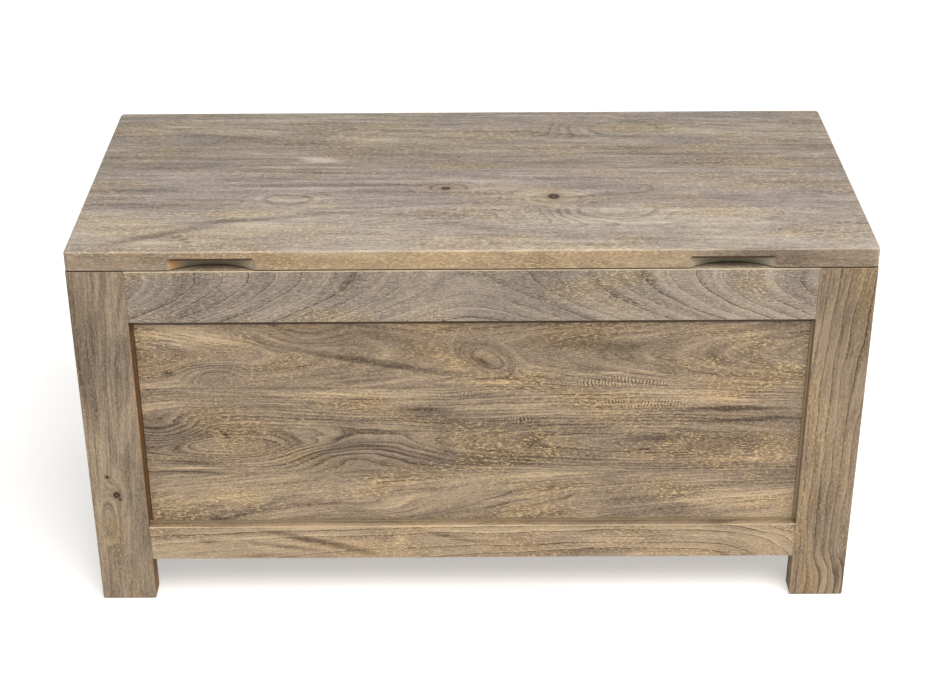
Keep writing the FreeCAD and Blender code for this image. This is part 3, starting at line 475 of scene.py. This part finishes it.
# Lid: four boards, seen from above, grain from end to end
lidLooks = {
    "lid_front_board": dict(
        mid="#9e9386", pale="#c6bbab", dark="#6a6056", fleckAndHighlightColor="#e4dbcb", heart=-128.0,
        depth=40.0, slope=0.1, ring=4.0, ringDark=0.28, ringShare=0.85, streak=0.46, wearAndHighlight=0.25,
        wearAndHighlightWidth=2.0, sideTintAndSunlight=("Y", -1, "#f7ead5", "#f4eadd", 275.0),
        # painted shadow and light inside the finger pulls
        pulls=(320.0, 52.0, 12.0, -228.5),
        marks=((-385, -178, 24, 130, 14, 0, -0.42), (-280, -136, 9, 200, 11, 0, -0.36),
               (165, -122, 0, 110, 44, 18, 0.06), (-390, -200, 0, 80, 24, 10, 0.14),
               (-366, -186, 20, 11, 5, 0, -0.55), (-357, -193, 20, 11, 5, 0, -0.55),
               (-350, -201, 20, 11, 5, 0, -0.55), (370, -231, 0, 170, 9, 0, -0.34),
               (-400, -231, 0, 120, 9, 0, -0.05)), seed=11),
    "lid_second_board": dict(
        mid="#928880", pale="#b9afa1", dark="#615850", fleckAndHighlightColor="#cfc4b0", heart=-45.0,
        depth=110.0, slope=0.04, ring=6.0, ringDark=0.3, ringShare=0.6, streak=0.52, sway=8,
        marks=((-241, -69, 0, 76, 36, 20, 0.16), (107, -68, 0, 90, 40, 24, 0.08),
               (-33, -42, 0, 56, 24, 14, 0.06), (-420, -40, 0, 120, 20, 0, -0.25),
               (72, -62, 0, 36, 15, 0, 0.22), (142, -60, 0, 40, 12, 0, 0.16),
               (60, -66, 0, 60, 8, 0, 0.16), (-150, -30, 0, 170, 8, 0, -0.22),
               (250, -70, 0, 160, 26, 0, -0.16)),
        knots=((107, -68.5, 8, 9.5), (-33, -42.5, 6.5, 4.5)), seed=12),
    "lid_third_board": dict(
        mid="#897f73", pale="#b5ab9c", dark="#5c534a", fleckAndHighlightColor="#cabea9", heart=60.0,
        depth=140.0, slope=0.03, ring=7.0, ringDark=0.34, ringShare=0.5, streak=0.52, sway=7,
        marks=((-201, 53, -4, 48, 15, 16, 0.55), (300, 70, 0, 150, 9, 0, -0.22),
               (-250, 30, 0, 160, 6, 0, 0.3)), seed=13),
    "lid_rear_board": dict(
        mid="#8e8579", pale="#bab0a0", dark="#5f574d", fleckAndHighlightColor="#cabea9", heart=168.0,
        depth=50.0, slope=0.12, ring=4.5, ringDark=0.28, ringShare=0.7, streak=0.52,
        marks=((190, 165, 0, 120, 48, 20, 0.0), (-400, 180, 20, 80, 26, 12, 0.18),
               (-330, 135, -8, 140, 10, 0, -0.22), (330, 150, 0, 80, 18, 0, 0.2)), seed=14),
}
lidShared = dict(axes="XYZ", coarse=1.6, coolness=0.3, warmth=0.55, blotch=0.3, follow=0.35,
                 line=3.6, tone=0.44)
for name, look in lidLooks.items():
    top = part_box(name)[1].z * 1000
    dress(name, mangoWood("mangoLid_" + name, face=(top, -1), **lidShared, **look))
print("lid boards done")


# Front of the case: rails and panel with the grain along X, stiles with the grain up
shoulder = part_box("front_right_stile")[0].x * 1000
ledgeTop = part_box("front_bottom_rail")[1].z * 1000
panelSeams = (193.0, 322.0)  # glue lines between the three strips of a panel, mm above the floor
revealWidth = 4.0
panelMarks = (
    # upper strip, from the left: yellow patch, eye, arcs, dark sweep into the swirl, grey band
    (-360, 399, 0, 110, 24, 0, 0.36), (-391, 391, -2, 45, 2.4, 0, -0.4),
    (-335, 346, 0, 64, 24, 12, 0.0), (-386, 343, 0, 14, 8, 0, -0.4),
    (-215, 398, 0, 84, 34, 12, 0.0), (-115, 357, -9.5, 145, 8, 0, -0.45),
    (-120, 392, -4, 140, 26, 0, -0.14), (16, 366, -22, 62, 30, 26, 0.0),
    (16, 366, -22, 58, 27, 0, -0.25), (18, 367, -22, 40, 17, 0, 0.42),
    (14, 359, -25, 17, 5, 0, -0.4),
    (170, 382, -2, 110, 15, 0, -0.22), (60, 388, 0, 160, 42, 0, -0.12),
    (350, 385, 0, 110, 36, 0, 0.14), (395, 350, 0, 70, 30, 0, 0.14),
    # middle strip: ring eye, dark lines with a pale one between, arcs, dark lines at the right,
    # pale lines through the ripple
    (-404, 257, 0, 80, 36, 20, -0.12), (-159, 227, 0, 150, 42, 22, -0.1),
    (-322, 254, -50, 15, 4, 0, -0.4),
    (-360, 210, -2, 64, 5, 0, -0.4), (-370, 202, 0, 64, 3, 0, 0.35), (-370, 196, 0, 66, 4, 0, -0.4),
    (-64, 289, -3, 50, 6, 0, -0.45), (335, 287, 1, 110, 5.5, 0, -0.45),
    (350, 271, 2, 100, 4.5, 0, -0.4), (235, 243, 3, 64, 9, 0, -0.25), (310, 232, 0, 50, 14, 14, 0.0),
    (40, 328, 0, 110, 3.5, 0, 0.3), (165, 341, 1, 80, 3.5, 0, 0.28), (70, 294, 0, 80, 4, 0, 0.26),
    (10, 308, 0, 90, 6, 0, -0.25), (-80, 298, 0, 70, 3.5, 0, 0.2), (250, 312, 0, 110, 4, 0, 0.25),
    (-310, 260, 0, 170, 56, 0, -0.12), (-150, 313, 0, 190, 12, 0, 0.18),
    (330, 303, 0, 120, 10, 0, 0.2), (375, 216, 0, 90, 26, 0, 0.14),
    # lower strip: dark spot, slanting streaks, pale flecks at both ends, a low eye
    (-337, 122, 0, 22, 7, 0, -0.4), (34, 156, 20, 56, 3.4, 0, -0.4),
    (50, 145, 14, 64, 3.4, 0, -0.35), (112, 151, 18, 46, 3, 0, -0.35),
    (335, 155, 0, 120, 36, 0, 0.2), (-345, 150, 0, 130, 30, 0, 0.12),
    (-110, 135, 0, 90, 22, 7, 0.08),
)
frontLooks = {
    "front_top_rail": dict(
        mid="#91867a", pale="#bdae9b", dark="#4c4137", fleckAndHighlightColor="#cfbfa3", heart=509.0,
        tilt=-0.072, depth=158.0, fold=-0.2, ring=6.4, line=1.9, ringDark=0.62, ringShare=0.9,
        streak=0.4, follow=1.0, tone=0.45, sway=4, warmth=0.6, coolness=0.3, fleck=0.75, wearAndHighlight=0.9,
        wearAndHighlightWidth=1.8, marks=((90, 459, 0, 360, 70, 0, -0.07),), shoulder=shoulder, seed=21),
    "front_bottom_rail": dict(
        mid="#a38f78", pale="#d0bb9a", dark="#5c4c3d", fleckAndHighlightColor="#d8c39c", heart=58.0, depth=-61.0,
        slope=0.2, fold=0.25, foldAt=325.0, ring=9.0, ringDark=0.7, ringShare=1.0, streak=0.3,
        blotch=0.55, follow=1.0, tone=0.475, warmth=0.35, sway=6, fleck=0.75, wearAndHighlight=0.7, wearAndHighlightWidth=1.8,
        # painted shade at the back of the ledge, under the panel
        ledgeShade=(2.5, 5.0),
        marks=((-353, 92, 0, 28, 8, 0, -0.35), (-205, 91, -14.5, 110, 8, 0, -0.6),
               (-250, 84, -8, 80, 5, 0, -0.4), (-20, 96, -12, 80, 6, 0, -0.3),
               (-285, 70, 3, 50, 5, 0, -0.35), (-330, 84, 0, 130, 30, 0, 0.06),
               (-97, 92, 60, 18, 15, 0, 0.3), (180, 90, 0, 70, 20, 0, 0.25)),
        shoulder=shoulder, seed=22),
    "front_panel": dict(
        mid="#8d7c6b", pale="#c4ae90", dark="#4a3d32", fleckAndHighlightColor="#d6be8e",
        tone=(0.53, 0.42, 0.39), heart=(60.0, 240.0, 372.0), depth=(110.0, 5.0, 2.0),
        slope=(-0.1, 0.0, 0.0), fold=(0.0, 0.12, 0.1), foldAt=(0.0, -40.0, 0.0), ring=4.5,
        ringDark=0.36, ringShare=0.7, streak=0.5, blotch=0.45, fleck=(0.9, 0.75, 0.75), follow=1.0,
        sway=14, seams=panelSeams,
        ripples=((190, 328, 110, 9, 0.4), (205, 297, 100, 9, 0.45), (70, 274, 60, 8, 0.35),
                 (0, 312, 110, 7, 0.2)),
        # painted shade on the left strip, painted light on the right and bottom ones
        revealLightAndShade=(("along", -1.0, shoulder - revealWidth, "#74522b"),
                 ("along", 1.0, shoulder - revealWidth, "#bba888"),
                 ("across", -1.0, -ledgeTop - revealWidth, "#d6c29e")),
        # painted shadow under the top rail, along the panel's top
        rims=((422.0, 7.0, 9.2, 0.85),),
        marks=panelMarks, knots=((224, 227, 9, 1.2),), seed=23),
    "front_left_stile": dict(
        axes="ZXY", mid="#8d7d6b", pale="#b5a287", dark="#54483a", tone=0.45, heart=-400.0,
        depth=70.0, slope=0.04, ring=6.0, ringDark=0.26, ringShare=0.4, streak=0.7, follow=1.0, sway=6,
        # painted sunlight: the inner face, which faces the light, is tinted warm orange
        sideTintAndSunlight=("X", 1, "#e4be88", "#e4be88", 0.0),
        marks=((126, -477, 0, 55, 17, 30, 0.0), (167, -467, 0, 30, 16, 12, 0.0),
               (380, -490, 0, 160, 9, 0, -0.18), (430, -478, 0, 90, 50, 0, -0.1),
               (200, -478, 0, 100, 50, 0, 0.12)),
        knots=((167, -467, 5.5, 5.0), (195, -475, 2.4, 2.4), (160, -463, 2.5, 2.0)), seed=24),
    "front_right_stile": dict(
        axes="ZXY", mid="#8f7d69", pale="#b59f80", dark="#4c3e2f", tone=0.43, heart=540.0,
        depth=30.0, slope=0.06, ring=11.0, line=3.4, ringDark=0.4, ringShare=0.95, streak=0.45,
        follow=1.0, grit=0.2, speck=0.24, sway=17,
        marks=((20, 475, 0, 60, 40, 14, 0.08), (430, 478, 0, 90, 50, 0, -0.2)), seed=25),
}
for name, look in frontLooks.items():
    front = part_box(name)[0].y * 1000
    dress(name, mangoWood("mangoFront_" + name, face=(front, 1), **look))
print("front boards done")


# Sides, back and inside: every board has its own heart and seed
grainOf = {"stile": "ZXY", "rail": "XZY", "panel": "XZY", "cleat": "XZY"}  # others run front to back
grainOnSide = {"ZXY": "ZYX", "XZY": "YZX"}
outerPanel = dict(seams=panelSeams, sway=18, mid="#9a856d", pale="#c8b18f", fleck=0.55)
rawBoard = dict(mid="#b09472", pale="#d2ba95", dark="#7d6448", warmth=0.5)
firstSeed = 300


def unseenLook(name, index):
    draw = random.Random(firstSeed + index)
    low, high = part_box(name)
    middle = (low + high) / 2 * 1000
    words = name.split("_")
    axes = grainOf.get(words[-1], "YXZ")
    if words[0] in ("left", "right"):
        axes = grainOnSide.get(axes, axes)
    place = {"X": middle.x, "Y": middle.y, "Z": middle.z}
    look = dict(axes=axes, face=(place[axes[2]], 1), heart=place[axes[1]] + draw.uniform(-30, 30),
                depth=draw.uniform(30, 110), slope=draw.choice((-1, 1)) * draw.uniform(0.03, 0.16),
                ring=draw.uniform(4.5, 7.5), ringDark=draw.uniform(0.3, 0.45),
                ringShare=draw.uniform(0.4, 0.8), streak=draw.uniform(0.4, 0.6),
                tone=draw.uniform(0.44, 0.54), seed=firstSeed + index)
    if name.endswith("panel"):
        look.update(outerPanel)
    if name.startswith(("floor", "lid")) or name.endswith(("cleat", "tongues")):
        look.update(rawBoard)
    return look


slotOf = {row["node"]: row["material_slot"] for row in frame["record"]["subparts"]}
woodNodes = sorted(name for name, slot in slotOf.items() if slot.endswith("wood"))
for index, name in enumerate(woodNodes):
    if name not in lidLooks and name not in frontLooks:
        dress(name, mangoWood("mango_" + name, **unseenLook(name, index)))
print("side, back and inner boards done")


# Pressed and tumbled steel: the eye gets dull metal with clouds, fine scratches and rubbed edges
steelLook = {
    "cloud": 9.0,            # mm
    "scratch": (12.0, 0.5),  # length and width, mm
    "rubWidth": 0.8,         # mm
    "relief": 0.2,           # mm
}


def tumbledSteel(name, dark, mid, rub):
    material, tree = newMaterial(name)
    point = addNode(tree, "TexCoord").outputs["Object"]
    point = addNode(tree, "VectorMath", point, 1000.0, operation="SCALE")
    cloud = steelLook["cloud"]
    clouds = addNode(tree, "VectorMath", point, perMm(cloud, cloud, cloud), operation="MULTIPLY")
    clouds = addNode(tree, "TexNoise", clouds, 1.0, 4.0, 0.6)
    long, wide = steelLook["scratch"]
    scratches = addNode(tree, "VectorMath", point, perMm(long, wide, wide), operation="MULTIPLY")
    scratches = addNode(tree, "TexNoise", scratches, 1.0, 2.0, 0.6)
    rounded = addNode(tree, "Bevel", steelLook["rubWidth"] / 1000, samples=4)
    facing = addNode(tree, "NewGeometry").outputs["Normal"]
    bend = addNode(tree, "VectorMath", rounded, facing, operation="DOT_PRODUCT").outputs["Value"]
    rubbed = addNode(tree, "MapRange", bend, 0.99, 0.85, 0.0, 0.8)
    color = addNode(tree, "Mix", clouds, hexColor(dark), hexColor(mid), data_type="RGBA")
    color = addNode(tree, "Mix", rubbed, color, hexColor(rub), data_type="RGBA")
    rough = addNode(tree, "MapRange", scratches, 0.3, 0.7, 0.32, 0.52)
    bump = addNode(tree, "Bump", 0.15, steelLook["relief"] / 1000)
    tree.links.new(scratches.outputs[0], bump.inputs["Height"])
    shader = addNode(tree, "BsdfPrincipled", color, 1.0)
    tree.links.new(rough.outputs[0], shader.inputs["Roughness"])
    tree.links.new(bump.outputs[0], shader.inputs["Normal"])
    addNode(tree, "OutputMaterial", shader)
    return material


bronzedSteel = tumbledSteel("bronzedSteel", "#5a4c3c", "#8a7658", "#b9a27c")
for name, slot in slotOf.items():
    if slot.endswith("steel"):
        dress(name, bronzedSteel)
print("metal done")


# Screws: round countersunk heads with a cross recess stand for the flat-sided ones
screwLook = {
    "headRadius": 3.15,      # mm
    "headHeight": 1.55,
    "shankRadius": 1.6,
    "crossReach": 1.75,
    "crossHalfWidth": 0.42,
    "crossDepth": 1.1,
    "crossNarrowing": 0.55,
    "sides": 16,
}


def islandsOf(node):
    # the points of each separate solid of a CAD node
    bm = bmesh.new()
    bm.from_mesh(node.data)
    bm.transform(node.matrix_world)
    bmesh.ops.remove_doubles(bm, verts=bm.verts, dist=1e-6)
    left = set(bm.verts)
    islands = []
    while left:
        island = set()
        edge = {left.pop()}
        while edge:
            island |= edge
            edge = {e.other_vert(v) for v in edge for e in v.link_edges} - island
        left -= island
        islands.append([v.co.copy() for v in island])
    bm.free()
    return islands


def screwEnds(points):
    # the middle of the head and the tip of a screw that lies along an axis
    low = Vector([min(p[i] for p in points) for i in range(3)])
    high = Vector([max(p[i] for p in points) for i in range(3)])
    axis = max(range(3), key=lambda i: high[i] - low[i])
    ends = [(low + high) / 2, (low + high) / 2]
    ends[0][axis] = low[axis]
    ends[1][axis] = high[axis]
    spread = [max((p - e).length for p in points if abs(p[axis] - e[axis]) < 1e-5) for e in ends]
    return ends if spread[0] > spread[1] else ends[::-1]


def addScrew(bm, head, tip):
    # drawn in mm with the head up and its top at the origin, then set in place
    look = screwLook
    old = set(bm.verts)
    rim = bmesh.ops.create_circle(bm, segments=look["sides"], radius=look["headRadius"])["verts"]
    rimEdges = list({e for v in rim for e in v.link_edges})
    reach, half = look["crossReach"], look["crossHalfWidth"]
    arm = [Vector((half, -half, 0)), Vector((reach, -half, 0)), Vector((reach, half, 0))]
    cross = []
    for quarter in range(4):
        turn = Matrix.Rotation(quarter * math.pi / 2, 3, "Z")
        cross += [bm.verts.new(turn @ corner) for corner in arm]
    crossEdges = [bm.edges.new((cross[i - 1], cross[i])) for i in range(len(cross))]
    bmesh.ops.triangle_fill(bm, use_beauty=True, edges=rimEdges + crossEdges)

    def sweep(edges, scale, down):
        made = bmesh.ops.extrude_edge_only(bm, edges=edges)["geom"]
        verts = [part for part in made if isinstance(part, bmesh.types.BMVert)]
        bmesh.ops.scale(bm, vec=(scale, scale, 1), verts=verts)
        bmesh.ops.translate(bm, vec=(0, 0, -down), verts=verts)
        return [part for part in made if isinstance(part, bmesh.types.BMEdge)]

    floorEdges = sweep(crossEdges, look["crossNarrowing"], look["crossDepth"])
    neckEdges = sweep(rimEdges, look["shankRadius"] / look["headRadius"], look["headHeight"])
    length = (tip - head).length * 1000
    tipEdges = sweep(neckEdges, 1.0, length - look["headHeight"])
    bmesh.ops.contextual_create(bm, geom=floorEdges)
    bmesh.ops.contextual_create(bm, geom=tipEdges)
    turn = Vector((0, 0, -1)).rotation_difference(tip - head).to_matrix().to_4x4()
    place = Matrix.Translation(head) @ turn @ Matrix.Scale(0.001, 4)
    bmesh.ops.transform(bm, matrix=place, verts=[v for v in bm.verts if v not in old])


platedSteel = tumbledSteel("platedSteel", "#8d8166", "#b3a582", "#d8cdae")
bodyOf = {name: body for body, names in frame["record"]["behaviour"]["bodies"].items() for name in names}
for name in sorted(name for name, slot in slotOf.items() if slot == "screw_steel"):
    bm = bmesh.new()
    for points in islandsOf(nodes[name]):
        addScrew(bm, *screwEnds(points))
    bmesh.ops.recalc_face_normals(bm, faces=bm.faces)
    mesh = bpy.data.meshes.new(name + "_turned")
    bm.to_mesh(mesh)
    bm.free()
    mesh.materials.append(platedSteel)
    screws = bpy.data.objects.new(name + "_turned", mesh)
    scene.collection.objects.link(screws)
    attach(screws, bodyOf[name])
    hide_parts(name)
print("screws done")


# Stage: pale floor that keeps the shadow, soft light, camera at the photo's view
stageLook = {
    "floorSize": 80.0,
    "floorColor": "#efefee",
    "floorLift": 0.4,      # makes the floor white where it is seen, without lighting the chest
    "world": 0.58,         # light on the chest; seen as white
    "keyPower": 160.0,
    "keySize": 2.6,
    "keyPlace": (1.2, -2.2, 3.7),
    "keyAim": (0.0, 0.0, 0.3),
    "keyColor": "#fff8f0",
}


def seenRays(tree):
    # 1 for what the camera sees, straight or in a reflection or through glass
    rays = addNode(tree, "LightPath").outputs
    seen = addNode(tree, "Math", rays["Is Camera Ray"], rays["Is Glossy Ray"], operation="MAXIMUM")
    return addNode(tree, "Math", seen, rays["Is Transmission Ray"], operation="MAXIMUM")


floorMesh = bpy.data.meshes.new("floor")
bm = bmesh.new()
bmesh.ops.create_grid(bm, x_segments=1, y_segments=1, size=stageLook["floorSize"] / 2)
bm.to_mesh(floorMesh)
bm.free()
floor = bpy.data.objects.new("floor", floorMesh)
scene.collection.objects.link(floor)
material, tree = newMaterial("paleFloor")
lift = addNode(tree, "Math", seenRays(tree), stageLook["floorLift"], operation="MULTIPLY")
matt = addNode(tree, "BsdfDiffuse", hexColor(stageLook["floorColor"]))
glow = addNode(tree, "Emission", (1, 1, 1, 1), lift)
both = addNode(tree, "AddShader", matt, glow)
addNode(tree, "OutputMaterial", both)
floorMesh.materials.append(material)

world = bpy.data.worlds.new("studio")
scene.world = world
world.use_nodes = True
world.node_tree.nodes.clear()
tree = world.node_tree
glow = addNode(tree, "MapRange", seenRays(tree), 0.0, 1.0, stageLook["world"], 1.0)
addNode(tree, "OutputWorld", addNode(tree, "Background", (1, 1, 1, 1), glow))

key = bpy.data.lights.new("key", "AREA")
key.energy = stageLook["keyPower"]
key.size = stageLook["keySize"]
key.color = hexColor(stageLook["keyColor"])[:3]
keyLight = bpy.data.objects.new("key", key)
keyLight.location = stageLook["keyPlace"]
aim = Vector(stageLook["keyAim"]) - keyLight.location
keyLight.rotation_euler = aim.to_track_quat("-Z", "Y").to_euler()
scene.collection.objects.link(keyLight)

cameraLook = {
    "lens": 72.0,          # mm, with the sensor's width
    "sensor": 36.0,
    "place": (-0.0119, -2.2822, 1.5113),
    "pitch": 28.82,        # degrees, downwards
    "yaw": -0.13,
    "roll": -0.25,
}
camera = bpy.data.cameras.new("camera")
camera.lens = cameraLook["lens"]
camera.sensor_width = cameraLook["sensor"]
camera.sensor_fit = "HORIZONTAL"
cameraObject = bpy.data.objects.new("camera", camera)
turn = Matrix.Rotation(math.radians(cameraLook["yaw"]), 4, "Z")
turn = turn @ Matrix.Rotation(math.radians(90 - cameraLook["pitch"]), 4, "X")
turn = turn @ Matrix.Rotation(math.radians(cameraLook["roll"]), 4, "Z")
cameraObject.matrix_world = Matrix.Translation(cameraLook["place"]) @ turn
scene.collection.objects.link(cameraObject)
scene.camera = cameraObject
scene.view_settings.view_transform = "Standard"
print("stage done")
